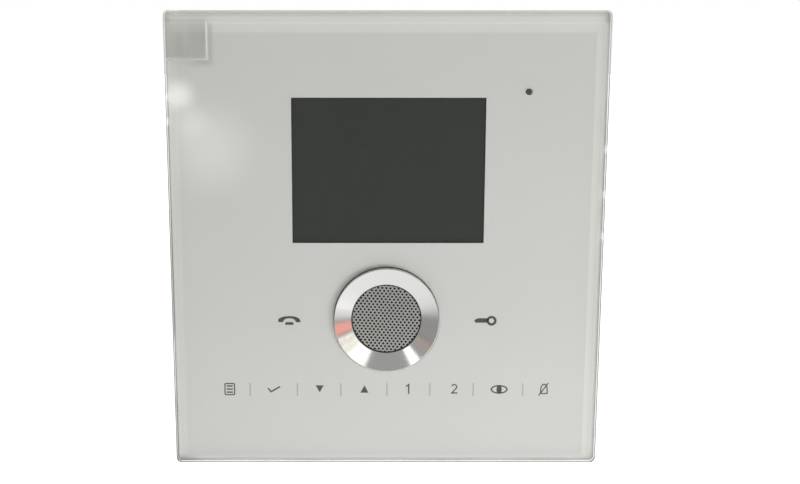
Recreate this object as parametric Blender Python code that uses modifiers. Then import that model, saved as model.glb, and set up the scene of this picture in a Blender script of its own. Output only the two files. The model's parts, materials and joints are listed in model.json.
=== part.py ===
"""Video intercom monitor for a wall: a clear-fronted touch panel that hangs on a steel wall plate.

Frame: +Z up, +X to the right of someone who looks at the screen, and the wall is the plane y = 0
with the monitor in front of it, towards -Y. The origin is the middle of the wall plate's back face.
Sizes below are in millimetres. A "height" is a distance in front of the wall, so y = -height.
"""

import math

import bmesh
import bpy
from mathutils import Matrix, Vector

MM = 0.001

# ---------------------------------------------------------------- driving dimensions (mm)
PANEL = (157.0, 166.0)            # width and height of the clear front plate
FRONT = 33.0                      # height of the front face above the wall
PLATE_THICK = 3.0
PLATE_BEVEL = 1.3
PLATE_CORNER = 1.9
FIT = 0.3                         # clearance between pieces that meet
BOND = 0.05                       # clearance of a glued film

SCREEN = (69.5, 52.4)             # visible window of the display
SCREEN_AT = (0.5, 26.5)
MODULE = (76.9, 63.9)             # 3.5 inch display module
MODULE_AT = (0.5, 25.8)

SPEAKER_AT = (0.0, -27.95)
RING_R = 19.35                    # speaker ring, outer
RING_GAP = 0.4                    # open line round the ring
RING_PROUD = 0.2
GRILLE_R = 16.5
GRILLE_VIEW_R = 12.9              # open radius in front of the grille
DISH = 2.6                        # depth of the ring's cone

MIC_AT = (50.2, 54.8)
MIC_HOLE_R = 1.1

CALL_KEY_X = (-35.5, 36.4)        # the two touch keys beside the speaker

FRAME_OUT = (154.0, 163.0)        # moulded front frame
FRAME_RIM = 5.0
FRAME_HEIGHTS = (23.4, 29.4)
FRAME_SKIN = 1.8

SHELL_OUT = (148.0, 156.0)        # moulded rear shell
SHELL_WALL = 2.0
SHELL_HEIGHTS = (0.8, 23.1)
SHELL_FLOOR = (2.0, 4.2)          # back wall where the wall plate nests
CASE_SCREW_AT = (66.0, 70.0)
SCREW_SEAT = 14.0

WALL_PLATE = (120.0, 128.0)
WALL_PLATE_THICK = 1.5
CABLE_HOLE = ((-24.0, 24.0), (-54.0, -18.0))
SHELL_WINDOW = ((-26.0, 26.0), (-56.0, -16.0))
WALL_SCREW_SLOTS = ((-30.0, -36.0), (30.0, -36.0), (-30.0, 48.0), (30.0, 48.0))
HOOKS = ((-48.0, 38.0), (48.0, 38.0), (-48.0, -38.0), (48.0, -38.0))
HOOK_W = 7.0
HOOK_LIP = 5.0
UNHOOK_TRAVEL = 8.0

BOARD = ((-54.0, 54.0), (-61.0, 50.0))
BOARD_HEIGHTS = (12.0, 13.6)
BOARD_SCREWS = ((-38.0, 45.0), (38.0, -57.0))
BOARD_POSTS = ((-38.0, 45.0), (38.0, 45.0), (-38.0, -57.0), (38.0, -57.0))

PITCH = 3.81                      # terminal pitch
POLES = 4
TERMINAL_X = 13.5
PLUG_BACK = 4.9
DIP_AT = (-14.6, -36.0)
DIP_PITCH = 2.54
DIP_WAYS = 6
DIP_TRAVEL = 1.9

WHITE = (0.83, 0.83, 0.81)
BLACK = (0.03, 0.03, 0.032)
STEEL = (0.60, 0.61, 0.62)
GREEN = (0.03, 0.16, 0.07)
BRASS = (0.72, 0.55, 0.25)


# ---------------------------------------------------------------- scene and helpers
for old in list(bpy.data.objects):
    bpy.data.objects.remove(old, do_unlink=True)

parts = bpy.data.collections.new("video_intercom_monitor")
cutters = bpy.data.collections.new("cutters")
bpy.context.scene.collection.children.link(parts)
bpy.context.scene.collection.children.link(cutters)


def material(name, colour, roughness=0.5, metallic=0.0, transmission=0.0):
    mat = bpy.data.materials.new(name)
    mat.use_nodes = True
    shader = mat.node_tree.nodes["Principled BSDF"]
    shader.inputs["Base Color"].default_value = (*colour, 1.0)
    shader.inputs["Roughness"].default_value = roughness
    shader.inputs["Metallic"].default_value = metallic
    shader.inputs["Transmission Weight"].default_value = transmission
    return mat


CLEAR = material("clear_acrylic", (0.9, 0.92, 0.92), 0.05, 0.0, 0.9)
PRINT = material("white_print", WHITE, 0.45)
CASE = material("white_abs", WHITE, 0.42)
BLACK_PLASTIC = material("black_plastic", BLACK, 0.4)
GLASS = material("display_glass", (0.05, 0.055, 0.05), 0.08)
ALUMINIUM = material("turned_aluminium", (0.78, 0.78, 0.77), 0.28, 1.0)
ZINC = material("zinc_steel", STEEL, 0.4, 1.0)
FOAM = material("black_foam", (0.04, 0.04, 0.04), 0.9)
RUBBER = material("black_rubber", (0.03, 0.03, 0.03), 0.7)
LAMINATE = material("green_laminate", GREEN, 0.35)
PAPER = material("speaker_paper", (0.08, 0.08, 0.08), 0.8)
COPPER = material("copper_wire", (0.75, 0.38, 0.2), 0.4, 1.0)
BRASS_MAT = material("plated_brass", BRASS, 0.35, 1.0)
TERMINAL_GREEN = material("green_terminal", (0.03, 0.30, 0.10), 0.45)
SWITCH_RED = material("red_plastic", (0.45, 0.04, 0.03), 0.45)
POLYIMIDE = material("polyimide", (0.42, 0.20, 0.05), 0.35)
LABEL = material("label_paper", (0.80, 0.80, 0.78), 0.6)


def mesh_object(name, bm, mat, collection=parts):
    """Turn a bmesh into a named object, smooth on its round faces."""
    bmesh.ops.recalc_face_normals(bm, faces=bm.faces)
    mesh = bpy.data.meshes.new(name)
    bm.to_mesh(mesh)
    bm.free()
    mesh.shade_smooth()
    mesh.set_sharp_from_angle(angle=math.radians(30))
    if mat:
        mesh.materials.append(mat)
    obj = bpy.data.objects.new(name, mesh)
    collection.objects.link(obj)
    if collection is cutters:
        obj.hide_render = True
        obj.display_type = "WIRE"
    return obj


def edges_where(bm, test):
    return [edge for edge in bm.edges if all(test(vert.co) for vert in edge.verts)]


def slab(name, x, z, height, mat, corner=0.0, front=0.0, back=0.0, steps=4, collection=parts):
    """Box between two x, z and height limits, with rounded corners and eased front and back edges."""
    lo = Vector((x[0], -height[1], z[0])) * MM
    hi = Vector((x[1], -height[0], z[1])) * MM
    bm = bmesh.new()
    bmesh.ops.create_cube(bm, size=1.0)
    bmesh.ops.scale(bm, vec=hi - lo, verts=bm.verts)
    bmesh.ops.translate(bm, vec=(lo + hi) / 2, verts=bm.verts)
    if corner:
        upright = [e for e in bm.edges if abs(e.verts[0].co.y - e.verts[1].co.y) > 1e-6]
        bmesh.ops.bevel(bm, geom=upright, offset=corner * MM, segments=steps, affect="EDGES", profile=0.5)
    if front:
        rim = edges_where(bm, lambda co: abs(co.y - lo.y) < 1e-7)
        bmesh.ops.bevel(bm, geom=rim, offset=front * MM, segments=2, affect="EDGES", profile=0.5)
    if back:
        rim = edges_where(bm, lambda co: abs(co.y - hi.y) < 1e-7)
        bmesh.ops.bevel(bm, geom=rim, offset=back * MM, segments=2, affect="EDGES", profile=0.5)
    return mesh_object(name, bm, mat, collection)


def centred(at, size):
    """x and z limits of a rectangle of this size about a point."""
    return (at[0] - size[0] / 2, at[0] + size[0] / 2), (at[1] - size[1] / 2, at[1] + size[1] / 2)


def plate(name, at, size, height, mat, **options):
    """Slab given by its middle and its size."""
    x, z = centred(at, size)
    return slab(name, x, z, height, mat, **options)


def cut_round(name, at, radius, height, sides=32):
    """Straight round bar that points at the wall."""
    bm = bmesh.new()
    bmesh.ops.create_cone(bm, cap_ends=True, segments=sides, radius1=radius * MM, radius2=radius * MM,
                          depth=(height[1] - height[0]) * MM)
    bmesh.ops.rotate(bm, verts=bm.verts, matrix=Matrix.Rotation(math.radians(90), 3, "X"))
    middle = Vector((at[0], -(height[0] + height[1]) / 2, at[1])) * MM
    bmesh.ops.translate(bm, verts=bm.verts, vec=middle)
    return mesh_object(name, bm, None, cutters)


def turned(name, at, profile, mat, sides=48, closed=True):
    """Round piece from (radius, height) points that run down the outer side, front to back."""
    mesh = bpy.data.meshes.new(name)
    outline = [(radius * MM, 0.0, height * MM) for radius, height in profile]
    count = len(outline)
    mesh.from_pydata(outline, [(i, (i + 1) % count) for i in range(count if closed else count - 1)], [])
    mesh.materials.append(mat)
    obj = bpy.data.objects.new(name, mesh)
    parts.objects.link(obj)
    obj.location = (at[0] * MM, 0.0, at[1] * MM)
    obj.rotation_euler = (math.radians(90), 0.0, 0.0)
    screw = obj.modifiers.new("turn", "SCREW")
    screw.steps = screw.render_steps = sides
    screw.use_merge_vertices = True
    screw.merge_threshold = 0.000001
    screw.use_smooth_shade = True
    return obj


def boolean(obj, other, operation):
    other.hide_render = True
    other.display_type = "WIRE"
    step = obj.modifiers.new(operation.lower(), "BOOLEAN")
    step.operation = operation
    step.solver = "EXACT"
    step.object = other


def cut(obj, *others):
    for other in others:
        boolean(obj, other, "DIFFERENCE")


def add(obj, *others):
    for other in others:
        boolean(obj, other, "UNION")


def cut_box(name, x, z, height, corner=0.0, steps=4):
    return slab(name, x, z, height, None, corner=corner, steps=steps, collection=cutters)


def extruded(name, outline, width, x_middle, mat):
    """Strip whose (height, z) outline lies in the YZ plane, extruded along X."""
    curve = bpy.data.curves.new(name, "CURVE")
    curve.dimensions = "2D"
    curve.fill_mode = "BOTH"
    curve.extrude = width * MM / 2
    spline = curve.splines.new("POLY")
    spline.points.add(len(outline) - 1)
    for point, (height, z) in zip(spline.points, outline):
        point.co = (-height * MM, z * MM, 0.0, 1.0)
    spline.use_cyclic_u = True
    curve.materials.append(mat)
    obj = bpy.data.objects.new(name, curve)
    parts.objects.link(obj)
    # local x, y and z of the flat outline lie along world Y, Z and X
    turn = Matrix(((0, 0, 1, 0), (1, 0, 0, 0), (0, 1, 0, 0), (0, 0, 0, 1)))
    obj.matrix_world = Matrix.Translation((x_middle * MM, 0, 0)) @ turn
    return obj


def ribbon_outline(path, thickness):
    """Closed outline of a thin strip that follows an open (height, z) path."""
    points = [Vector(point) for point in path]
    normals = []
    for i in range(len(points)):
        run = points[min(i + 1, len(points) - 1)] - points[max(i - 1, 0)]
        normals.append(Vector((-run.y, run.x)).normalized() * thickness / 2)
    one_side = [point + normal for point, normal in zip(points, normals)]
    other_side = [point - normal for point, normal in zip(points, normals)]
    return [tuple(point) for point in one_side + other_side[::-1]]


def s_path(start, end, steps=12):
    """Smooth path between two (height, z) points that leaves and arrives along z."""
    path = []
    for i in range(steps + 1):
        t = i / steps
        ease = t * t * (3 - 2 * t)
        path.append((start[0] + (end[0] - start[0]) * ease, start[1] + (end[1] - start[1]) * t))
    return path


def screw_part(name, at, head_r, head, shank_r, shank, sides=16, slot=0.5):
    """Screw with its head at the lower heights and a driver slot in it."""
    obj = turned(name, at, [(0.0, shank[1]), (shank_r, shank[1]), (shank_r, shank[0]), (head_r, head[1]),
                            (head_r, head[0]), (0.0, head[0])], ZINC, sides=sides, closed=False)
    depth = (head[1] - head[0]) * 0.5
    x, z = centred(at, (slot, head_r * 3))
    cut(obj, cut_box(name + "_slot", x, z, (head[0] - 1, head[0] + depth)))
    return obj


# ---------------------------------------------------------------- heights of the stacked layers
PLATE_BACK = FRONT - PLATE_THICK
BACKING = (PLATE_BACK - BOND - 0.25, PLATE_BACK - BOND)
TAPE = (FRAME_HEIGHTS[1] + BOND, BACKING[0] - BOND)
SKIN_BACK = FRAME_HEIGHTS[1] - FRAME_SKIN
RING_HOLE_R = RING_R + RING_GAP
RING_FRONT = FRONT + RING_PROUD
GRILLE = (29.6, 30.1)


# ---------------------------------------------------------------- front plate and what is bonded to it
def front_plate():
    glass = plate("front_plate", (0, 0), PANEL, (PLATE_BACK, FRONT), CLEAR, corner=PLATE_CORNER,
                  front=PLATE_BEVEL)
    cut(glass, cut_round("plate_ring_hole", SPEAKER_AT, RING_HOLE_R, (20, 40), 64),
        cut_round("plate_mic_hole", MIC_AT, MIC_HOLE_R, (20, 40), 20))

    backing = plate("printed_backing", (0, 0), (PANEL[0] - 0.6, PANEL[1] - 0.6), BACKING, PRINT,
                    corner=PLATE_CORNER - 0.3)
    x, z = centred(SCREEN_AT, SCREEN)
    cut(backing, cut_box("backing_window", x, z, (20, 40)),
        cut_round("backing_ring_hole", SPEAKER_AT, RING_HOLE_R, (20, 40), 64),
        cut_round("backing_mic_hole", MIC_AT, MIC_HOLE_R + 0.2, (20, 40), 20))

    tape = plate("adhesive_frame", (0, 0), (FRAME_OUT[0] - 0.6, FRAME_OUT[1] - 0.6), TAPE, FOAM, corner=2.0)
    x, z = centred((0, 0), (FRAME_OUT[0] - 15, FRAME_OUT[1] - 15))
    cut(tape, cut_box("tape_inside", x, z, (20, 40)))

    film_at = (-PANEL[0] / 2 + 8.3, PANEL[1] / 2 - 10.3)
    plate("film_tab", film_at, (14.4, 14.2), (FRONT + BOND, FRONT + BOND + 0.13), CLEAR, corner=0.8, steps=2)


# ---------------------------------------------------------------- moulded front frame
def touch_shape(name, margin, height, mat, collection=parts):
    """Strip behind the row of touch keys, with an arm behind each key beside the speaker."""
    half = 67.0 + margin
    strip = slab(name, (-half, half), (-60.0 - margin, -49.7 + margin * 0.5), height, mat,
                 collection=collection)
    for side, middle in zip(("left", "right"), CALL_KEY_X):
        reach = (middle - 5.5 - margin, middle + 5.5 + margin)
        arm = cut_box(f"{name}_{side}_arm", reach, (-55.0, -23.0 + margin), height)
        add(strip, arm)
    return strip


def front_frame():
    frame = plate("front_frame", (0, 0), FRAME_OUT, FRAME_HEIGHTS, CASE, corner=2.5)
    pocket = (FRAME_OUT[0] - 2 * FRAME_RIM, FRAME_OUT[1] - 2 * FRAME_RIM)
    x, z = centred((0, 0), pocket)
    cut(frame, cut_box("frame_pocket", x, z, (20, SKIN_BACK), corner=2.0))
    for i, (sx, sz) in enumerate(((-1, 1), (1, 1), (-1, -1), (1, -1))):
        at = (sx * CASE_SCREW_AT[0], sz * CASE_SCREW_AT[1])
        add(frame, cut_round(f"frame_post_{i + 1}", at, 4.2, (FRAME_HEIGHTS[0], SKIN_BACK + 0.4), 24))
        cut(frame, cut_round(f"frame_post_hole_{i + 1}", at, 1.75, (20, 28.3), 16))
    x, z = centred(MODULE_AT, (MODULE[0] + 1.0, MODULE[1] + 1.0))
    cut(frame, cut_box("frame_display_hole", x, z, (20, 40)),
        cut_round("frame_speaker_hole", SPEAKER_AT, RING_HOLE_R, (20, 40), 64),
        cut_round("frame_mic_hole", MIC_AT, 4.6, (20, 40), 24),
        touch_shape("frame_touch_hole", 0.5, (20, 40), None, collection=cutters))


# ---------------------------------------------------------------- display and touch keys
def display():
    x, z = centred(MODULE_AT, MODULE)
    tray = slab("display_frame", x, z, (25.7, 29.0), ZINC, corner=0.6, steps=2)
    x, z = centred(MODULE_AT, (MODULE[0] - 0.8, MODULE[1] - 0.8))
    cut(tray, cut_box("display_tray_inside", x, z, (27.7, 30)))
    plate("display_panel", MODULE_AT, (MODULE[0] - 1.4, MODULE[1] - 1.4), (28.0, 29.1), GLASS)
    seal = plate("display_gasket", MODULE_AT, (MODULE[0] - 0.5, MODULE[1] - 0.5), (29.2, 29.6), FOAM)
    x, z = centred(SCREEN_AT, (SCREEN[0] + 1.6, SCREEN[1] + 1.6))
    cut(seal, cut_box("gasket_inside", x, z, (20, 40)))
    path = s_path((25.2, 2.0), (15.9, 16.5))
    extruded("display_cable", ribbon_outline(path, 0.3), 22.0, MODULE_AT[0], POLYIMIDE)


def touch_keys():
    touch_shape("touch_light_guide", 0.0, (28.0, 29.4), CLEAR)
    touch_shape("touch_board", 1.2, (26.2, SKIN_BACK - FIT), LAMINATE)
    path = s_path((25.9, -53.5), (15.9, -42.0))
    extruded("touch_cable", ribbon_outline(path, 0.3), 9.0, -36.0, POLYIMIDE)


# ---------------------------------------------------------------- loudspeaker
def loudspeaker():
    seat = GRILLE[1] + FIT
    turned("speaker_ring", SPEAKER_AT,
           [(RING_R - 0.15, RING_FRONT), (RING_R, RING_FRONT - 0.15), (RING_R, 28.0), (16.8, 28.0),
            (16.8, seat), (GRILLE_VIEW_R, seat), (GRILLE_VIEW_R, RING_FRONT - DISH),
            (RING_R - 0.4, RING_FRONT)], ALUMINIUM, sides=64)
    turned("speaker_grille", SPEAKER_AT,
           [(0.0, GRILLE[1]), (GRILLE_R, GRILLE[1]), (GRILLE_R, GRILLE[0]), (0.0, GRILLE[0])], ZINC, closed=False)
    turned("speaker_seal", SPEAKER_AT, [(16.4, 29.3), (16.4, 27.6), (13.2, 27.6), (13.2, 29.3)], FOAM, sides=32)
    turned("speaker_basket", SPEAKER_AT,
           [(20.0, 27.3), (20.0, 26.3), (16.8, 26.3), (16.8, 24.4), (13.0, 19.6), (8.6, 19.6), (8.6, 20.5),
            (12.3, 20.5), (15.9, 24.9), (15.9, 27.3)], ZINC, sides=40)
    turned("speaker_magnet", SPEAKER_AT,
           [(0.0, 20.0), (6.2, 20.0), (6.2, 15.8), (8.2, 15.8), (8.2, 19.3), (12.0, 19.3), (12.0, 14.3),
            (0.0, 14.3)], ZINC, sides=32, closed=False)
    turned("speaker_cone", SPEAKER_AT,
           [(0.0, 23.3), (3.6, 22.9), (6.4, 21.9), (7.4, 22.2), (13.0, 25.2), (14.2, 26.1), (15.4, 26.0),
            (15.4, 25.6), (14.2, 25.7), (13.2, 24.7), (7.4, 21.3), (6.2, 21.3), (3.5, 22.3), (0.0, 22.7)],
           PAPER, sides=36, closed=False)
    turned("voice_coil", SPEAKER_AT, [(7.6, 21.0), (7.6, 17.0), (6.8, 17.0), (6.8, 21.0)], COPPER, sides=32)
    turned("speaker_retainer", SPEAKER_AT, [(21.8, 26.0), (21.8, 24.8), (17.2, 24.8), (17.2, 26.0)],
           BLACK_PLASTIC, sides=40)
    speaker_lead()


def speaker_lead():
    """Two-core lead from the loudspeaker to the board, a smooth arc in plan and in height."""
    curve = bpy.data.curves.new("speaker_lead", "CURVE")
    curve.dimensions = "3D"
    curve.bevel_depth = 0.7 * MM
    curve.bevel_resolution = 2
    curve.use_fill_caps = True
    spline = curve.splines.new("POLY")
    steps = 12
    spline.points.add(steps)
    for i in range(steps + 1):
        t = i / steps
        x = 16.0 + 14.0 * t
        height = 21.0 - 4.8 * t * t
        z = SPEAKER_AT[1] + 6.0 * math.sin(math.pi * t) - 2.0
        spline.points[i].co = (x * MM, -height * MM, z * MM, 1.0)
    curve.materials.append(SWITCH_RED)
    parts.objects.link(bpy.data.objects.new("speaker_lead", curve))


def microphone():
    turned("microphone_boot", MIC_AT,
           [(0.8, 29.2), (4.2, 29.2), (4.2, 24.9), (3.35, 24.9), (3.35, 28.1), (0.8, 28.1)], RUBBER, sides=24)
    turned("microphone", MIC_AT, [(0.0, 27.8), (3.0, 27.8), (3.0, 25.2), (0.0, 25.2)], ALUMINIUM, sides=24,
           closed=False)


# ---------------------------------------------------------------- main board
def main_board():
    board = slab("main_board", *BOARD, BOARD_HEIGHTS, LAMINATE, corner=2.0, steps=2)
    for i, at in enumerate(BOARD_POSTS):
        cut(board, cut_round(f"board_hole_{i + 1}", at, 1.7, (10, 15), 16))
    for i, at in enumerate(BOARD_SCREWS):
        post_top = BOARD_HEIGHTS[1] + FIT
        turned(f"board_screw_{i + 1}", at,
               [(0.0, post_top + 1.6), (2.6, post_top + 1.3), (2.6, post_top), (1.25, post_top), (1.25, 8.0),
                (0.0, 8.0)], ZINC, sides=16, closed=False)

    front = BOARD_HEIGHTS[1] + FIT
    for name, at, size, tall, mat in (
            ("processor", (-22.0, 30.0), (14.0, 14.0), 1.2, BLACK_PLASTIC),
            ("video_decoder", (-42.0, 12.0), (9.0, 9.0), 1.1, BLACK_PLASTIC),
            ("radio_shield", (28.0, 32.0), (26.0, 20.0), 2.6, ZINC),
            ("power_inductor", (-34.0, -12.0), (8.0, 8.0), 4.5, BLACK_PLASTIC),
            ("crystal", (-4.0, 36.0), (4.8, 11.0), 3.4, ALUMINIUM),
            ("display_connector", (0.5, 18.5), (25.0, 3.0), 2.0, BLACK_PLASTIC),
            ("touch_connector", (-36.0, -40.0), (12.0, 3.0), 2.0, BLACK_PLASTIC)):
        corner = 0.8 if tall > 2.2 else 0.0
        plate(name, at, size, (front, front + tall), mat, corner=corner, steps=2)
    for i, (at, radius, tall) in enumerate((((44.0, 6.0), 4.0, 8.0), ((44.0, -8.0), 3.2, 7.0),
                                            ((-46.0, -24.0), 4.0, 8.0))):
        turned(f"capacitor_{i + 1}", at,
               [(0.0, front + tall), (radius - 0.4, front + tall), (radius, front + tall - 0.4), (radius, front),
                (0.0, front)], BLACK_PLASTIC, sides=24, closed=False)


# ---------------------------------------------------------------- wire terminals and address switches
def pole_x(i):
    return TERMINAL_X + (i - (POLES - 1) / 2) * PITCH


def terminals():
    half = POLES * PITCH / 2 + 1.4
    board = BOARD_HEIGHTS[0] - FIT
    outside = (TERMINAL_X - half, TERMINAL_X + half)
    mouth = (TERMINAL_X - half + 1.2, TERMINAL_X + half - 1.2)
    header = slab("terminal_header", outside, (-31.0, -21.5), (PLUG_BACK, board), TERMINAL_GREEN)
    cut(header, cut_box("header_mouth", mouth, (-33.0, -24.0), (6.1, 10.5)))

    plug = slab("terminal_plug", outside, (-43.0, -31.3), (PLUG_BACK, board - FIT), TERMINAL_GREEN)
    tongue = (mouth[0] + FIT, mouth[1] - FIT)
    add(plug, cut_box("plug_tongue", tongue, (-33.0, -24.4), (6.4, 10.2)))
    for i in range(POLES):
        x = pole_x(i)
        add(header, cut_box(f"header_pin_{i + 1}", (x - 0.4, x + 0.4), (-30.0, -23.0), (7.9, 8.7)))
        cut(plug, cut_box(f"plug_socket_{i + 1}", (x - 0.8, x + 0.8), (-30.6, -24.0), (7.5, 9.1)),
            cut_box(f"plug_wire_entry_{i + 1}", (x - 1.5, x + 1.5), (-44.0, -35.4), (6.4, 10.8)),
            cut_round(f"plug_screw_hole_{i + 1}", (x, -38.9), 1.62, (4.0, 7.0), 20))
        screw_part(f"terminal_screw_{i + 1}", (x, -38.9), 1.3, (5.1, 6.1), 0.7, (6.1, 8.9), sides=12, slot=0.4)
        cage = slab(f"terminal_clamp_{i + 1}", (x - 1.2, x + 1.2), (-40.3, -37.5), (7.2, 10.6), BRASS_MAT)
        cut(cage, cut_box(f"clamp_wire_way_{i + 1}", (x - 0.85, x + 0.85), (-42.0, -36.0), (8.0, 10.1)),
            cut_round(f"clamp_thread_{i + 1}", (x, -38.9), 1.02, (6.8, 8.2), 12))


def dip_switches():
    size = (DIP_WAYS * DIP_PITCH + 2.2, 9.8)
    face = 6.5
    body = plate("switch_body", DIP_AT, size, (face, BOARD_HEIGHTS[0] - FIT), SWITCH_RED)
    for i in range(DIP_WAYS):
        x = DIP_AT[0] + (i - (DIP_WAYS - 1) / 2) * DIP_PITCH
        slot_z = (DIP_AT[1] - 2.1, DIP_AT[1] + 2.1)
        cut(body, cut_box(f"switch_slot_{i + 1}", (x - 0.8, x + 0.8), slot_z, (face - 1, 8.9)))
        lever_z = (slot_z[0] + FIT, slot_z[1] - FIT - DIP_TRAVEL)
        slab(f"switch_lever_{i + 1}", (x - 0.5, x + 0.5), lever_z, (face - 0.7, 8.6), PRINT)


# ---------------------------------------------------------------- rear shell
def rear_shell():
    shell = plate("rear_shell", (0, 0), SHELL_OUT, SHELL_HEIGHTS, CASE, corner=4.0, back=0.6)
    inside = (SHELL_OUT[0] - 2 * SHELL_WALL, SHELL_OUT[1] - 2 * SHELL_WALL)
    x, z = centred((0, 0), inside)
    cut(shell, cut_box("shell_inside", x, z, (SHELL_FLOOR[1], 30), corner=2.0))
    for i, (sx, sz) in enumerate(((-1, 1), (1, 1), (-1, -1), (1, -1))):
        at = (sx * CASE_SCREW_AT[0], sz * CASE_SCREW_AT[1])
        add(shell, cut_round(f"shell_post_{i + 1}", at, 4.6, (3.0, SHELL_HEIGHTS[1]), 24))
        cut(shell, cut_round(f"shell_counterbore_{i + 1}", at, 3.2, (-1, SCREW_SEAT), 24),
            cut_round(f"shell_screw_hole_{i + 1}", at, 1.75, (SCREW_SEAT - 1, 30), 16))
        screw_part(f"case_screw_{i + 1}", at, 2.7, (11.9, SCREW_SEAT - FIT), 1.4, (SCREW_SEAT - FIT, 27.0),
                   slot=0.8)
    for i, at in enumerate(BOARD_POSTS):
        add(shell, cut_round(f"shell_board_post_{i + 1}", at, 3.2, (3.0, BOARD_HEIGHTS[0] - FIT), 20))
        cut(shell, cut_round(f"shell_board_post_hole_{i + 1}", at, 1.6, (7.0, 15), 16))

    side = WALL_PLATE[0] / 2 + 0.8
    below = WALL_PLATE[1] / 2 + UNHOOK_TRAVEL + 0.8
    above = WALL_PLATE[1] / 2 + 0.8
    cut(shell, cut_box("shell_plate_recess", (-side, side), (-below, above), (-1, SHELL_FLOOR[0])),
        cut_box("shell_window", *SHELL_WINDOW, (-1, 5), corner=2.0))
    for i, (x, z) in enumerate(HOOKS):
        slot_z = (z - UNHOOK_TRAVEL - 0.5, z + WALL_PLATE_THICK + FIT)
        cut(shell, cut_box(f"shell_hook_slot_{i + 1}", (x - HOOK_W / 2 - 1, x + HOOK_W / 2 + 1), slot_z, (-1, 6)))
    vents = 11
    for edge, sign in (("top", 1), ("bottom", -1)):
        for i in range(vents):
            x = (i - (vents - 1) / 2) * 6.0
            z = sorted((sign * 74.0, sign * 80.0))
            cut(shell, cut_box(f"{edge}_vent_{i + 1}", (x - 0.9, x + 0.9), z, (8.0, 19.0)))
    plate("rating_label", (0.0, 71.4), (46.0, 9.0), (0.5, 0.75), LABEL, corner=1.0, steps=2)


# ---------------------------------------------------------------- wall plate
def wall_plate():
    sheet = plate("wall_plate", (0, 0), WALL_PLATE, (0.0, WALL_PLATE_THICK), ZINC, corner=4.0)
    cut(sheet, cut_box("plate_cable_hole", *CABLE_HOLE, (-1, 3), corner=3.0))
    for i, at in enumerate(WALL_SCREW_SLOTS):
        x, z = centred(at, (5.0, 11.0))
        cut(sheet, cut_box(f"plate_screw_slot_{i + 1}", x, z, (-1, 3), corner=2.4))
    lip_back = SHELL_FLOOR[1] + FIT
    lip_front = lip_back + WALL_PLATE_THICK
    for i, (x, z) in enumerate(HOOKS):
        across = (x - HOOK_W / 2, x + HOOK_W / 2)
        add(sheet, cut_box(f"hook_neck_{i + 1}", across, (z, z + WALL_PLATE_THICK), (0.5, lip_front)),
            cut_box(f"hook_lip_{i + 1}", across, (z, z + WALL_PLATE_THICK + HOOK_LIP), (lip_back, lip_front)))
        lanced = (x - HOOK_W / 2 - 0.6, x + HOOK_W / 2 + 0.6)
        cut(sheet, cut_box(f"hook_window_{i + 1}", lanced, (z - 10.0, z), (-1, WALL_PLATE_THICK + 0.2)))


front_plate()
front_frame()
display()
touch_keys()
loudspeaker()
microphone()
main_board()
terminals()
dip_switches()
rear_shell()
wall_plate()
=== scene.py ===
"""Looks of the wall-hung video intercom monitor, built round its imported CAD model.

Row frame, metres: +Z up, the wall is y = 0 and the monitor stands in front of it, towards -Y.
Sizes written below are in millimetres; a "height" is a distance in front of the wall, so y = -height.
"""

import json
import math

import bmesh
import bpy
from mathutils import Euler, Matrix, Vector


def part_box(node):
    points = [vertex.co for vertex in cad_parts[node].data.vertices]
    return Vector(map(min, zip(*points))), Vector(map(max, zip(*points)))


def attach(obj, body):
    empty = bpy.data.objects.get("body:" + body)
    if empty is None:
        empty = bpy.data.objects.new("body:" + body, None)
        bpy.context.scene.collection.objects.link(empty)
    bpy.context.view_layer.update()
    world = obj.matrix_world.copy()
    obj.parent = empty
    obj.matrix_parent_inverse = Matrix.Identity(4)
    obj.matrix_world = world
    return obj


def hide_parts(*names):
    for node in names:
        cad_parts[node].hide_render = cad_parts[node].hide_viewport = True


MM = 0.001
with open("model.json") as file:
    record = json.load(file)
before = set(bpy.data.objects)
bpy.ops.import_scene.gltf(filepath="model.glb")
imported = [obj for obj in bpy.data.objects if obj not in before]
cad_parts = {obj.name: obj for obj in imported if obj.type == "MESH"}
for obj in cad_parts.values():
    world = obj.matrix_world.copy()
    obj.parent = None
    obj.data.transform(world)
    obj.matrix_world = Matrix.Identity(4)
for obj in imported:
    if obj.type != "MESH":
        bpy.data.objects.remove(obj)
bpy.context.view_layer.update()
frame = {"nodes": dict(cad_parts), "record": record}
cad = frame["nodes"]
scene = bpy.context.scene

# ------------------------------------------------------------------ positions read from the CAD
PANEL_LO, PANEL_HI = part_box("front_plate")
HALF_W = PANEL_HI.x / MM
HALF_H = PANEL_HI.z / MM
RING_LO, RING_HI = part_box("speaker_ring")
SPEAKER = ((RING_LO.x + RING_HI.x) / 2 / MM, (RING_LO.z + RING_HI.z) / 2 / MM)
RING_R = (RING_HI.x - RING_LO.x) / 2 / MM
PRINT_FACE = -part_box("printed_backing")[0].y / MM
PLATE_BACK = -PANEL_HI.y / MM
BOARD_BACK = -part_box("main_board")[1].y / MM
FILM_X, FILM_Z = [tuple(getattr(corner, axis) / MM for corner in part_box("film_tab")) for axis in "xz"]


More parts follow.
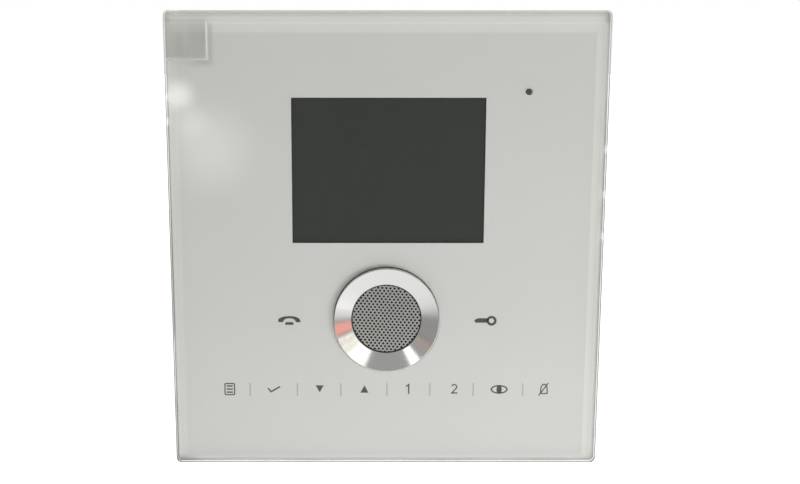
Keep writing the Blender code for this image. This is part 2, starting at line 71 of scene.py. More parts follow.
# ------------------------------------------------------------------ node trees
class Nodes:
    """Short calls for building one node tree."""

    def __init__(self, tree):
        self.tree = tree

    def add(self, kind, inputs=None, **settings):
        node = self.tree.nodes.new(kind)
        for key, value in settings.items():
            setattr(node, key, value)
        for key, value in (inputs or {}).items():
            self.feed(node.inputs[key], value)
        return node

    def feed(self, socket, value):
        if isinstance(value, bpy.types.NodeSocket):
            self.tree.links.new(value, socket)
        else:
            socket.default_value = value

    def math(self, operation, a, b=0.0, clamp=False):
        return self.add("ShaderNodeMath", {0: a, 1: b}, operation=operation, use_clamp=clamp).outputs[0]

    def span(self, value, low, high, out_low=0.0, out_high=1.0, smooth=True):
        """Map low..high to out_low..out_high, held at the ends."""
        kind = "SMOOTHSTEP" if smooth else "LINEAR"
        given = {"Value": value, "From Min": low, "From Max": high, "To Min": out_low, "To Max": out_high}
        return self.add("ShaderNodeMapRange", given, interpolation_type=kind).outputs["Result"]

    def colour(self, factor, a, b, blend="MIX"):
        node = self.add("ShaderNodeMix", {0: factor}, data_type="RGBA", blend_type=blend)
        for index, value in ((6, a), (7, b)):
            self.feed(node.inputs[index], value if isinstance(value, bpy.types.NodeSocket) else (*value, 1.0))
        return node.outputs[2]

    def grey(self, value):
        """Colour whose three parts are one value."""
        return self.add("ShaderNodeCombineColor", {0: value, 1: value, 2: value}).outputs[0]

    def place(self, stretch=(1.0, 1.0, 1.0)):
        """Object coordinates, in millimetres."""
        where = self.add("ShaderNodeTexCoord").outputs["Object"]
        scale = tuple(s / MM for s in stretch)
        return self.add("ShaderNodeVectorMath", {0: where, 1: scale}, operation="MULTIPLY").outputs[0]

    def axes(self):
        return self.add("ShaderNodeSeparateXYZ", {0: self.place()}).outputs

    def noise(self, size, detail=3.0, stretch=(1.0, 1.0, 1.0), rough=0.55):
        """Noise whose features are about size millimetres across."""
        given = {"Vector": self.place(stretch), "Scale": 1.0 / size, "Detail": detail, "Roughness": rough}
        return self.add("ShaderNodeTexNoise", given).outputs["Fac"]

    def bump(self, height, depth, strength=1.0, normal=None):
        """Bump whose full height is depth millimetres."""
        given = {"Height": height, "Distance": depth * MM, "Strength": strength}
        if normal is not None:
            given["Normal"] = normal
        return self.add("ShaderNodeBump", given).outputs["Normal"]


def new_material(name):
    mat = bpy.data.materials.new(name)
    mat.use_nodes = True
    nodes = Nodes(mat.node_tree)
    shader = mat.node_tree.nodes["Principled BSDF"]
    return mat, nodes, shader


def scaled(colour, factor):
    return tuple(min(1.0, c * factor) for c in colour)


def finish(name, colour, rough=(0.35, 0.5), vary=0.08, patch=9.0, speck=0.7, grain=0.35, depth=0.006,
           stretch=(1.0, 1.0, 1.0), **sockets):
    """Surface with uneven colour, uneven gloss and a fine grain.

    patch, speck and grain are feature sizes in millimetres; depth is the grain's height.
    """
    mat, nodes, shader = new_material(name)
    mottle = nodes.noise(patch, 4.0, stretch)
    mottle = nodes.colour(mottle, scaled(colour, 1 - vary), scaled(colour, 1 + vary))
    fine = nodes.span(nodes.noise(speck, 2.0, stretch), 0.35, 0.65, 1 - vary * 0.5, 1 + vary * 0.5)
    nodes.feed(shader.inputs["Base Color"], nodes.colour(1.0, mottle, nodes.grey(fine), "MULTIPLY"))
    gloss = nodes.span(nodes.noise(patch * 0.6, 4.0, stretch), 0.3, 0.7, rough[0], rough[1])
    nodes.feed(shader.inputs["Roughness"], gloss)
    nodes.feed(shader.inputs["Normal"], nodes.bump(nodes.noise(grain, 3.0, stretch), depth))
    for key, value in sockets.items():
        shader.inputs[key.replace("_", " ")].default_value = value
    return mat


# ------------------------------------------------------------------ materials of the front
def near_top(nodes):
    """1 along the panel's top edge, 0 elsewhere."""
    return nodes.span(nodes.axes()[2], HALF_H - 5.0, HALF_H - 3.0)


def rim_distance(nodes):
    """Distance in millimetres from the nearest edge of the panel."""
    x, _, z = nodes.axes()[:3]
    across = nodes.math("SUBTRACT", HALF_W, nodes.math("ABSOLUTE", x))
    return nodes.math("MINIMUM", across, nodes.math("SUBTRACT", HALF_H, nodes.math("ABSOLUTE", z)))


# painted glints: spots on the bevel painted white where it would catch a lamp, as (x, z)
PAINTED_GLINT_SPOTS = ((-74.8, 82.8), (-78.2, 53.0), (-78.2, 44.3), (78.2, 34.4), (78.2, 18.2), (78.2, 3.0))


def clear_plate():
    """Clear plate: only its gloss and its pale sawn sides show, and what lies behind shows through."""
    mat, nodes, shader = new_material("clear_acrylic")
    mat.node_tree.nodes.remove(shader)
    out = mat.node_tree.nodes["Material Output"]
    surface = nodes.add("ShaderNodeNewGeometry").outputs
    facing = nodes.add("ShaderNodeSeparateXYZ", {0: surface["True Normal"]}).outputs
    rim = rim_distance(nodes)
    # the walls of the two holes stay clear
    side = nodes.math("MULTIPLY", nodes.span(nodes.math("ABSOLUTE", facing[1]), 0.97, 0.85),
                      nodes.span(rim, 3.0, 2.0))
    smear = nodes.span(nodes.noise(26.0, 3.0), 0.4, 0.75, 0.012, 0.05)
    gloss = nodes.add("ShaderNodeBsdfGlossy", {"Color": (1, 1, 1, 1), "Roughness": smear})
    ripple = nodes.bump(nodes.noise(14.0, 1.0), 0.004)
    nodes.feed(gloss.inputs["Normal"], ripple)
    clear = nodes.add("ShaderNodeBsdfTransparent", {"Color": (1, 1, 1, 1)})
    edge_tone = nodes.colour(nodes.noise(3.0, 3.0), (0.66, 0.67, 0.65), (0.74, 0.75, 0.73))
    x, _, z = nodes.axes()[:3]
    # painted shade: the rim is darker from 0.7 mm in, strongly along the top and faintly elsewhere
    dark = nodes.math("MULTIPLY", nodes.span(rim, 0.7, 1.1), nodes.span(near_top(nodes), 0.0, 1.0, 0.08, 0.5))
    edge_tone = nodes.colour(dark, edge_tone, (0.42, 0.43, 0.38))
    # painted shade: a fine dark line inside the rounded rim, everywhere but along the top, stands for the gap
    # at the print's edge lying in shade
    line = nodes.math("MULTIPLY", nodes.span(rim, 0.05, 0.25), nodes.span(rim, 0.8, 0.55))
    line = nodes.math("MULTIPLY", line, nodes.span(nodes.noise(22.0, 1.0), 0.35, 0.6, 0.55, 0.95))
    line = nodes.math("MULTIPLY", line, nodes.span(z, HALF_H - 26.0, HALF_H - 46.0))
    line = nodes.math("MULTIPLY", line, nodes.span(x, 3.0 - HALF_W, 12.0 - HALF_W, 1.0, 0.55))
    edge_tone = nodes.colour(line, edge_tone, (0.17, 0.175, 0.155))
    # painted shade: the rim is darker along the left and right sides
    dim = nodes.span(nodes.math("ABSOLUTE", x), HALF_W - 2.5, HALF_W - 1.5, 1.0, 0.72)
    edge_tone = nodes.colour(1.0, edge_tone, nodes.grey(dim), "MULTIPLY")
    flat = nodes.add("ShaderNodeCombineXYZ", {0: x, 2: z}).outputs[0]
    # painted glints: the rim's colour turns white round each spot
    for at in PAINTED_GLINT_SPOTS:
        near = nodes.add("ShaderNodeVectorMath", {0: flat, 1: (at[0], 0.0, at[1])}, operation="DISTANCE")
        edge_tone = nodes.colour(nodes.span(near.outputs["Value"], 2.0, 0.8), edge_tone, (1.0, 1.0, 1.0))
    edge = nodes.add("ShaderNodeBsdfDiffuse", {"Color": edge_tone})
    # the sides and the painted shade line hide what lies behind
    cover = nodes.math("MAXIMUM", nodes.math("MULTIPLY", side, 0.85), nodes.math("MULTIPLY", line, 0.64))
    body = nodes.add("ShaderNodeMixShader", {0: cover, 1: clear.outputs[0], 2: edge.outputs[0]})
    outside = nodes.math("SUBTRACT", 1.0, surface["Backfacing"])
    share = nodes.math("MULTIPLY", nodes.add("ShaderNodeFresnel", {"IOR": 1.49}).outputs[0], outside)
    mixed = nodes.add("ShaderNodeMixShader", {0: share, 1: body.outputs[0], 2: gloss.outputs[0]})
    nodes.feed(out.inputs["Surface"], mixed.outputs[0])
    return mat


def silver_print():
    """Silver-white print, with a paler border that is widest and palest along the top and right, and a pale
    line near the top.
    """
    mat, nodes, shader = new_material("white_print")
    x, _, z = nodes.axes()[:3]
    from_top = nodes.math("SUBTRACT", HALF_H, z)
    from_right = nodes.math("SUBTRACT", HALF_W, x)
    from_left = nodes.math("ADD", x, HALF_W)
    from_foot = nodes.math("ADD", z, HALF_H)
    band = nodes.span(from_top, 8.0, 7.2, 0.0, 0.8)
    for distance, width, weight in ((from_right, 5.2, 0.8), (from_left, 4.4, 0.5), (from_foot, 3.2, 0.4)):
        band = nodes.math("MAXIMUM", band, nodes.span(distance, width, width - 0.8, 0.0, weight))
    line = nodes.math("MULTIPLY", nodes.span(from_top, 3.7, 4.2), nodes.span(from_top, 4.9, 4.4))
    base = nodes.colour(nodes.noise(45.0, 2.0), (0.715, 0.718, 0.690), (0.745, 0.748, 0.722))
    flake = nodes.span(nodes.noise(0.25, 1.0), 0.3, 0.7, 0.985, 1.015)
    tone = nodes.colour(1.0, base, nodes.grey(flake), "MULTIPLY")
    tone = nodes.colour(nodes.math("MULTIPLY", band, 0.55), tone, (0.93, 0.94, 0.87))
    tone = nodes.colour(nodes.math("MULTIPLY", line, 0.35), tone, (0.98, 0.98, 0.93))
    # painted light and shade along the rim: darker along the top, and paler along the other edges (less so
    # near the left) to make up for the shade that the plate's edge casts on the print
    rim = nodes.span(rim_distance(nodes), 2.4, 1.6)
    rim_painted_light_tone = nodes.colour(near_top(nodes), (0.97, 0.97, 0.94), (0.60, 0.61, 0.55))
    pale = nodes.span(from_left, 4.0, 9.0, 0.3, 1.0)
    share = nodes.add("ShaderNodeMix", {0: near_top(nodes), 2: pale, 3: 0.45}).outputs[0]
    tone = nodes.colour(nodes.math("MULTIPLY", rim, share), tone, rim_painted_light_tone)
    # painted shadow: the film stands a little off the plate at its inner corner, and the print to its right
    # and below it is painted darker as its shade
    beside = nodes.math("MULTIPLY", nodes.span(x, FILM_X[1] + 0.1, FILM_X[1] + 2.4, 1.0, 0.0),
                        nodes.span(z, FILM_Z[0] - 3.0, FILM_Z[0] + 0.5))
    below = nodes.math("MULTIPLY", nodes.span(z, FILM_Z[0] - 0.1, FILM_Z[0] - 3.0, 1.0, 0.0),
                       nodes.span(x, FILM_X[0] + 3.0, FILM_X[1] - 2.0))
    outside = nodes.math("MAXIMUM", nodes.math("GREATER_THAN", x, FILM_X[1]),
                         nodes.math("LESS_THAN", z, FILM_Z[0]))
    shade = nodes.math("MULTIPLY", nodes.math("MULTIPLY", beside, nodes.span(z, FILM_Z[1], FILM_Z[1] - 3.0)),
                       nodes.span(x, FILM_X[1] - 0.1, FILM_X[1] + 0.1))
    shade = nodes.math("MAXIMUM", shade, nodes.math("MULTIPLY", below, nodes.math("LESS_THAN", x, FILM_X[1])))
    shade = nodes.math("MULTIPLY", nodes.math("MULTIPLY", shade, outside), 0.45)
    tone = nodes.colour(shade, tone, (0.44, 0.45, 0.42))
    nodes.feed(shader.inputs["Base Color"], tone)
    nodes.feed(shader.inputs["Roughness"], nodes.span(nodes.noise(20.0, 3.0), 0.3, 0.7, 0.42, 0.55))
    nodes.feed(shader.inputs["Normal"], nodes.bump(nodes.noise(0.4, 2.0), 0.001))
    return mat


def turned_metal():
    """Bright turned aluminium: fine rings about the speaker's axis, and little else."""
    mat, nodes, shader = new_material("turned_aluminium")
    x, y, z = nodes.axes()[:3]
    across = nodes.math("SUBTRACT", x, SPEAKER[0])
    up = nodes.math("SUBTRACT", z, SPEAKER[1])
    flat = nodes.add("ShaderNodeCombineXYZ", {0: across, 1: up, 2: 0.0}).outputs[0]
    radius = nodes.add("ShaderNodeVectorMath", {0: flat}, operation="LENGTH").outputs["Value"]
    rings = nodes.add("ShaderNodeTexNoise", {"W": nodes.math("MULTIPLY", radius, 9.0), "Scale": 1.0,
                                             "Detail": 3.0}, noise_dimensions="1D").outputs["Fac"]
    streak = nodes.noise(1.6, 3.0)
    tone = nodes.colour(rings, (0.86, 0.855, 0.84), (0.95, 0.945, 0.93))
    nodes.feed(shader.inputs["Base Color"], tone)
    nodes.feed(shader.inputs["Roughness"], nodes.span(streak, 0.3, 0.7, 0.11, 0.15))
    nodes.feed(shader.inputs["Normal"], nodes.bump(rings, 0.0012))
    shader.inputs["Metallic"].default_value = 1.0
    return mat


def clear_film():
    """Thin protective film: slightly grey and creased, with a painted highlight along its right and lower
    edges.
    """
    mat, nodes, shader = new_material("clear_film")
    x, _, z = nodes.axes()[:3]
    crease = nodes.noise(3.5, 2.0, (1.0, 1.0, 0.35))
    fold = nodes.noise(7.0, 1.0, (1.6, 1.0, 0.5))
    # painted highlight along the film's right and lower edges
    painted_right_edge_highlight = nodes.span(x, FILM_X[1] - 0.75, FILM_X[1] - 0.45)
    painted_lower_edge_highlight = nodes.span(z, FILM_Z[0] + 1.0, FILM_Z[0] + 0.5)
    painted_edge_highlight = nodes.math("MAXIMUM", painted_right_edge_highlight, nodes.math("MULTIPLY", painted_lower_edge_highlight, 0.45))
    tone = nodes.colour(crease, (0.50, 0.49, 0.46), (0.62, 0.61, 0.58))
    nodes.feed(shader.inputs["Base Color"], nodes.colour(painted_edge_highlight, tone, (0.98, 0.98, 0.95)))
    upper = nodes.span(z, FILM_Z[1] - 7.0, FILM_Z[1], 1.0, 0.45)
    haze = nodes.math("MULTIPLY", nodes.span(fold, 0.35, 0.65, 0.08, 0.15), upper)
    alpha = nodes.add("ShaderNodeMix", {0: painted_edge_highlight, 2: haze, 3: 0.62}).outputs[0]
    nodes.feed(shader.inputs["Alpha"], alpha)
    nodes.feed(shader.inputs["Roughness"], nodes.span(crease, 0.3, 0.7, 0.12, 0.3))
    nodes.feed(shader.inputs["Normal"], nodes.bump(crease, 0.03))
    return mat


def display_glass():
    mat, nodes, shader = new_material("display_glass")
    haze = nodes.noise(18.0, 3.0)
    nodes.feed(shader.inputs["Base Color"], nodes.colour(haze, (0.036, 0.040, 0.034), (0.043, 0.047, 0.041)))
    nodes.feed(shader.inputs["Roughness"], nodes.span(haze, 0.3, 0.7, 0.45, 0.6))
    shader.inputs["Specular IOR Level"].default_value = 0.15
    return mat


def laminate():
    """Solder mask over copper: lines of track, plated holes and weave under the green."""
    mat, nodes, shader = new_material("green_laminate")
    where = nodes.place()
    tracks = nodes.add("ShaderNodeTexBrick", {"Vector": nodes.add("ShaderNodeVectorRotate", {
        "Vector": where, "Angle": math.radians(90)}, rotation_type="X_AXIS").outputs[0],
        "Scale": 0.35, "Mortar Size": 0.035, "Mortar Smooth": 0.1, "Brick Width": 3.4, "Row Height": 0.42})
    weave = nodes.noise(0.5, 2.0)
    mask = nodes.colour(weave, (0.010, 0.085, 0.036), (0.016, 0.115, 0.050))
    copper = nodes.colour(weave, (0.022, 0.17, 0.07), (0.03, 0.20, 0.085))
    nodes.feed(shader.inputs["Base Color"], nodes.colour(tracks.outputs["Fac"], mask, copper))
    nodes.feed(shader.inputs["Roughness"], nodes.span(weave, 0.3, 0.7, 0.22, 0.38))
    lift = nodes.bump(tracks.outputs["Fac"], 0.03)
    nodes.feed(shader.inputs["Normal"], nodes.bump(weave, 0.003, normal=lift))
    return mat


METAL = {"Metallic": 1.0}
slot_look = {
    "clear_acrylic": clear_plate(),
    "clear_film": clear_film(),
    "white_print": silver_print(),
    "white_abs": finish("white_abs", (0.74, 0.74, 0.72), (0.42, 0.55), 0.03, 30.0, 0.9, 0.30, 0.012),
    "display_glass": display_glass(),
    "tin_sheet": finish("tin_sheet", (0.70, 0.71, 0.72), (0.25, 0.42), 0.06, 5.0, 0.5, 0.3, 0.003, **METAL),
    "black_foam": finish("black_foam", (0.035, 0.035, 0.036), (0.85, 0.95), 0.2, 2.0, 0.3, 0.35, 0.06),
    "polyimide": finish("polyimide", (0.46, 0.21, 0.045), (0.25, 0.4), 0.12, 6.0, 0.6, 0.5, 0.004,
                        (0.15, 1.0, 1.0)),
    "green_laminate": laminate(),
    "turned_aluminium": turned_metal(),
    "grille_steel": finish("grille_steel", (0.60, 0.60, 0.58), (0.34, 0.46), 0.07, 4.0, 0.5, 0.2, 0.002,
                           **METAL),
    "basket_steel": finish("basket_steel", (0.52, 0.53, 0.54), (0.3, 0.48), 0.08, 6.0, 0.5, 0.3, 0.004,
                           **METAL),
    "speaker_paper": finish("speaker_paper", (0.055, 0.053, 0.050), (0.8, 0.92), 0.25, 2.5, 0.4, 0.3, 0.02),
    "copper_wire": finish("copper_wire", (0.80, 0.38, 0.19), (0.25, 0.4), 0.1, 1.5, 0.3, 0.12, 0.01,
                          (1.0, 6.0, 1.0), **METAL),
    "lead_sleeve": finish("lead_sleeve", (0.42, 0.03, 0.025), (0.4, 0.5), 0.08, 3.0, 0.5, 0.3, 0.003),
    "black_plastic": finish("black_plastic", (0.022, 0.022, 0.024), (0.38, 0.52), 0.12, 5.0, 0.4, 0.25,
                            0.008),
    "chip_resin": finish("chip_resin", (0.026, 0.026, 0.028), (0.5, 0.65), 0.14, 2.0, 0.3, 0.15, 0.006),
    "black_rubber": finish("black_rubber", (0.028, 0.028, 0.028), (0.65, 0.8), 0.15, 3.0, 0.4, 0.3, 0.008),
    "can_aluminium": finish("can_aluminium", (0.80, 0.80, 0.80), (0.28, 0.42), 0.05, 3.0, 0.4, 0.25, 0.003,
                            **METAL),
    "green_terminal": finish("green_terminal", (0.020, 0.30, 0.085), (0.36, 0.5), 0.07, 6.0, 0.5, 0.3, 0.008),
    "plated_brass": finish("plated_brass", (0.78, 0.66, 0.44), (0.22, 0.4), 0.08, 2.0, 0.3, 0.2, 0.004,
                           **METAL),
    "zinc_screw": finish("zinc_screw", (0.66, 0.67, 0.69), (0.22, 0.38), 0.08, 1.5, 0.3, 0.15, 0.004,
                         **METAL),
    "red_plastic": finish("red_plastic", (0.42, 0.022, 0.018), (0.36, 0.5), 0.06, 4.0, 0.4, 0.25, 0.006),
    "white_nylon": finish("white_nylon", (0.80, 0.80, 0.77), (0.35, 0.48), 0.04, 2.0, 0.3, 0.2, 0.004),
    "label_paper": finish("label_paper", (0.80, 0.80, 0.785), (0.5, 0.65), 0.025, 8.0, 0.4, 0.15, 0.003),
    "zinc_sheet": finish("zinc_sheet", (0.62, 0.63, 0.65), (0.28, 0.42), 0.06, 9.0, 0.8, 0.4, 0.003, **METAL),
}
ink = finish("key_ink", (0.070, 0.072, 0.064), (0.45, 0.6), 0.10, 2.5, 0.25, 0.15, 0.001)
pale_ink = finish("divider_ink", (0.50, 0.50, 0.485), (0.45, 0.6), 0.04, 2.5, 0.25, 0.15, 0.001)

for part in frame["record"]["subparts"]:
    for slot in cad[part["node"]].material_slots:
        slot.material = slot_look[part["material_slot"]]


# ------------------------------------------------------------------ mesh helpers
def piece(name, bm, mat, body="monitor", replaces=None, angle=35):
    """Finish a bmesh made in millimetres (x, height, z) as an object that rides on a body."""
    for vert in bm.verts:
        x, height, z = vert.co
        vert.co = (x * MM, -height * MM, z * MM)
    bmesh.ops.recalc_face_normals(bm, faces=bm.faces)
    mesh = bpy.data.meshes.new(name)
    bm.to_mesh(mesh)
    bm.free()
    mesh.shade_smooth()
    mesh.set_sharp_from_angle(angle=math.radians(angle))
    mesh.materials.append(mat)
    obj = bpy.data.objects.new(name, mesh)
    scene.collection.objects.link(obj)
    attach(obj, body)
    if replaces:
        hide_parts(replaces)
    return obj


def sheet(bm, outlines, height):
    """Add a flat sheet to bm: the first outline is its edge, the others are holes in it."""
    curve = bpy.data.curves.new("sheet", "CURVE")
    curve.dimensions = "2D"
    curve.fill_mode = "BOTH"
    curve.extrude = (height[1] - height[0]) / 2
    for outline in outlines:
        spline = curve.splines.new("POLY")
        spline.points.add(len(outline) - 1)
        for point, (x, z) in zip(spline.points, outline):
            point.co = (x, z, 0.0, 1.0)
        spline.use_cyclic_u = True
    holder = bpy.data.objects.new("sheet", curve)
    mesh = bpy.data.meshes.new_from_object(holder)
    middle = (height[0] + height[1]) / 2
    for vert in mesh.vertices:
        x, z, offset = vert.co
        vert.co = (x, middle + offset, z)
    bm.from_mesh(mesh)
    bmesh.ops.remove_doubles(bm, verts=bm.verts, dist=1e-5)
    bpy.data.objects.remove(holder)
    bpy.data.curves.remove(curve)
    bpy.data.meshes.remove(mesh)


def circle(at, radius, count, start=0.0):
    return [(at[0] + radius * math.cos(start + 2 * math.pi * i / count),
             at[1] + radius * math.sin(start + 2 * math.pi * i / count)) for i in range(count)]


def oval(at, half_w, half_h, count=28):
    return [(at[0] + half_w * math.cos(2 * math.pi * i / count),
             at[1] + half_h * math.sin(2 * math.pi * i / count)) for i in range(count)]


def rounded(at, width, tall, corner, steps=4):
    """Outline of a rectangle with round corners."""
    points = []
    for quarter, (sx, sz) in enumerate(((1, 1), (-1, 1), (-1, -1), (1, -1))):
        cx = at[0] + sx * (width / 2 - corner)
        cz = at[1] + sz * (tall / 2 - corner)
        for step in range(steps + 1):
            turn = math.radians(90 * (quarter + step / steps))
            points.append((cx + corner * math.cos(turn), cz + corner * math.sin(turn)))
    return points


def stroke(path, width):
    """Outline of a line of even width with square ends."""
    points = [Vector(p) for p in path]
    one, other = [], []
    for i, point in enumerate(points):
        before = (point - points[i - 1]).normalized() if i else None
        after = (points[i + 1] - point).normalized() if i + 1 < len(points) else None
        run = (before or after) + (after or before)
        run.normalize()
        normal = Vector((-run.y, run.x))
        straight = Vector((-(before or after).y, (before or after).x))
        reach = width / 2 / max(0.3, normal.dot(straight))
        one.append(tuple(point + normal * reach))
        other.append(tuple(point - normal * reach))
    return one + other[::-1]


def lathe(bm, at, profile, count):
    """Turned solid from a closed (radius, height) profile."""
    rings = []
    for i in range(count):
        turn = 2 * math.pi * i / count
        rings.append([bm.verts.new((at[0] + r * math.cos(turn), h, at[1] + r * math.sin(turn)))
                      for r, h in profile])
    for i in range(count):
        here, following = rings[i], rings[(i + 1) % count]
        for j in range(len(profile)):
            k = (j + 1) % len(profile)
            bm.faces.new((here[j], here[k], following[k], following[j]))


def block(bm, x, z, height, ease=0.0):
    """Box with eased edges, added to bm."""
    made = bmesh.ops.create_cube(bm, size=1.0)["verts"]
    for vert in made:
        vert.co = (x[0] + (vert.co.x + 0.5) * (x[1] - x[0]),
                   height[0] + (vert.co.y + 0.5) * (height[1] - height[0]),
                   z[0] + (vert.co.z + 0.5) * (z[1] - z[0]))
    if ease:
        edges = list({edge for vert in made for edge in vert.link_edges})
        bmesh.ops.bevel(bm, geom=edges, offset=ease, segments=2, affect="EDGES", profile=0.5)


# ------------------------------------------------------------------ speaker ring and grille
DISH_R, DISH = 12.9, 2.6          # inner edge of the ring's dish and its depth
TURNED_R = RING_R - 0.12          # leaves a hair of a gap inside the plate's hole
RIM_R, RIM_DROP = TURNED_R - 0.22, 0.02      # where the dish meets the eased edge, below the front
BORE_R = 16.8                     # wide bore behind the dish, which holds the grille
DISH_BACK = 30.4                  # height of the step between the two
HOLE_PITCH, ROW_PITCH, HOLE_R = 1.50, 1.045, 0.41
HOLE_TILT = math.radians(-3.0)


def speaker_front():
    lo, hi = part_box("speaker_ring")
    front, back = -lo.y / MM, -hi.y / MM
    bm = bmesh.new()
    inner, outer = (DISH_R, front - DISH), (RIM_R, front - RIM_DROP)
    cone = [(inner[0] + (outer[0] - inner[0]) * t, inner[1] + (outer[1] - inner[1]) * t)
            for t in (0.02, 0.035, 0.965, 0.98)]
    profile = [(TURNED_R - 0.18, front), (TURNED_R - 0.08, front - 0.02), (TURNED_R - 0.02, front - 0.08),
               (TURNED_R, front - 0.20), (TURNED_R, back), (BORE_R, back), (BORE_R, DISH_BACK),
               (DISH_R, DISH_BACK), (DISH_R, front - DISH - 0.06)] + cone
    lathe(bm, SPEAKER, profile, 256)
    piece("speaker_ring_turned", bm, slot_look["turned_aluminium"],
          replaces="speaker_ring", angle=25)
    # dark ring in the gap round the speaker ring: painted shade, a dark part put where the gap lies in shade
    bm = bmesh.new()
    low, high = PLATE_BACK - 0.6, PLATE_BACK + 0.15
    lathe(bm, SPEAKER, [(TURNED_R + 0.03, low), (TURNED_R + 0.03, high), (RING_R + 0.09, high),
                        (RING_R + 0.09, low)], 128)
    gap_shade_look = finish("gap_shade_dark", (0.065, 0.064, 0.060), (0.65, 0.8), 0.15, 3.0, 0.4, 0.3, 0.008)
    piece("ring_gap_shade", bm, gap_shade_look)
    bm = bmesh.new()
    lathe(bm, SPEAKER, [(RING_R + 0.1, PRINT_FACE - 0.1), (RING_R + 0.1, PRINT_FACE + 0.02),
                        (RING_R + 0.6, PRINT_FACE + 0.02), (RING_R + 0.6, PRINT_FACE + 0.004),
                        (RING_R + 0.36, PRINT_FACE + 0.004), (RING_R + 0.36, PRINT_FACE - 0.1)], 128)
    piece("ring_hole_edge", bm, slot_look["white_print"])

    lo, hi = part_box("speaker_grille")
    front, back = -lo.y / MM, -hi.y / MM
    outer = (hi.x - lo.x) / 2 / MM
    bm = bmesh.new()
    lathe(bm, SPEAKER, [(12.5, front), (outer - 0.1, front), (outer - 0.1, front + 0.28),
                        (12.6, front + 0.28), (12.5, front + 0.18)], 128)
    piece("grille_gasket", bm, slot_look["black_rubber"])
    holes = []
    for j in range(-18, 19):
        for i in range(-14, 15):
            u = (i + (0.5 if j % 2 else 0.0)) * HOLE_PITCH + 0.1
            v = j * ROW_PITCH
            x = u * math.cos(HOLE_TILT) - v * math.sin(HOLE_TILT)
            z = u * math.sin(HOLE_TILT) + v * math.cos(HOLE_TILT)
            if math.hypot(x, z) < outer - 1.0:
                holes.append(circle((SPEAKER[0] + x, SPEAKER[1] + z), HOLE_R, 10))
    bm = bmesh.new()
    sheet(bm, [circle(SPEAKER, outer, 96)] + holes, (back, front))
    piece("speaker_grille_punched", bm, slot_look["grille_steel"],
          replaces="speaker_grille", angle=40)


# ------------------------------------------------------------------ printed key symbols
KEY_Z = -54.95
INK_AT = (PRINT_FACE + 0.006, PRINT_FACE + 0.03)


def symbol(name, *regions, mat=ink):
    """Printed symbol made of flat regions, each a list of an edge and its holes."""
    bm = bmesh.new()
    for region in regions:
        sheet(bm, region, INK_AT)
    return piece("print_" + name, bm, mat)


def key_symbols():
    at = (-58.25, KEY_Z)
    lines = [[stroke([(at[0] - 1.15, at[1] + dz), (at[0] + 1.15, at[1] + dz)], 0.52)]
             for dz in (1.18, 0.0, -1.18)]
    symbol("list", [rounded(at, 4.0, 4.75, 0.6), rounded(at, 3.15, 3.9, 0.35)], *lines)
    symbol("tick", [stroke([(-44.0, -54.60), (-42.85, -55.95), (-39.75, -54.15)], 0.55)],
           [circle((-39.75, -54.15), 0.32, 16)])
    symbol("down", [[(-26.25, -53.5), (-24.72, -56.2), (-23.25, -53.5)]])
    symbol("up", [[(-9.60, -56.35), (-8.05, -53.5), (-6.60, -56.35)]])
    symbol("one", [[(7.35, -54.0), (7.35, -53.6), (8.1, -53.25), (8.25, -52.9), (8.7, -52.9), (8.7, -56.85),
                    (8.2, -56.85), (8.2, -53.8), (7.8, -54.0)]])
    arc = [(25.4 + 0.92 * math.cos(math.radians(a)), -54.1 + 0.92 * math.sin(math.radians(a)))
           for a in range(165, -41, -20)]
    symbol("two", [stroke(arc + [(24.55, -56.4)], 0.45)],
           [stroke([(24.25, -56.45), (26.6, -56.45)], 0.48)])
    eye = (42.15, -55.05)
    symbol("eye", [oval(eye, 3.2, 1.68), oval(eye, 2.62, 1.18)],
           [oval(eye, 1.0, 1.62, 24)])
    key_bell()
    for i, x in enumerate((-50.65, -33.05, -16.85, 0.3, 16.3, 32.45, 50.9)):
        symbol(f"divider_{i + 1}", [stroke([(x, -52.65), (x, -57.65)], 0.5)], mat=pale_ink)


def key_bell():
    x, z = 58.85, -55.05
    side = [(1.25, -1.55), (1.2, -0.4), (1.15, 0.7), (0.75, 1.55), (0.35, 1.95)]
    line = [(x - a, z + b) for a, b in side] + [(x + a, z + b) for a, b in side[::-1]]
    symbol("bell_off", [stroke(line, 0.42)],
           [stroke([(x - 1.3, z - 1.6), (x + 1.45, z - 1.6)], 0.42)],
           [stroke([(x - 1.95, z - 2.45), (x + 1.55, z + 2.45)], 0.42)])


def call_symbols():
    """Handset and door key beside the speaker."""
    cx, top = -35.75, -27.15
    arch = [(-4.1, -2.05), (-4.15, -1.2), (-3.6, -0.62), (-2.4, -0.12), (-1.2, 0.08), (0.0, 0.14),
            (1.2, 0.08), (2.4, -0.12), (3.5, -0.62), (3.9, -1.2), (4.15, -2.15), (2.5, -2.2), (2.15, -1.5),
            (1.6, -0.95), (0.8, -0.72), (0.0, -0.66), (-0.9, -0.74), (-1.7, -1.05), (-2.1, -1.6),
            (-2.5, -2.15)]
    bar = [(-1.35, -2.15), (1.4, -2.15), (1.6, -3.15), (-1.65, -3.15)]
    symbol("handset", [[(cx + a, top + b) for a, b in arch]], [[(cx + a, top + b) for a, b in bar]])

    x, z = 38.75, -28.75
    shaft = [(-1.2, 0.95), (-4.9, 0.95), (-5.75, 0.65), (-6.45, 0.0), (-5.8, -0.75), (-5.2, -0.8),
             (-4.9, -0.55), (-4.5, -0.8), (-4.0, -0.75), (-3.65, -0.4), (-3.3, -1.05), (-2.95, -0.45),
             (-2.5, -0.95), (-2.0, -0.55), (-1.4, -0.9)]
    symbol("door_key", [circle((x, z), 1.85, 32), circle((x, z), 0.95, 24)],
           [[(x + a, z + b) for a, b in shaft]])


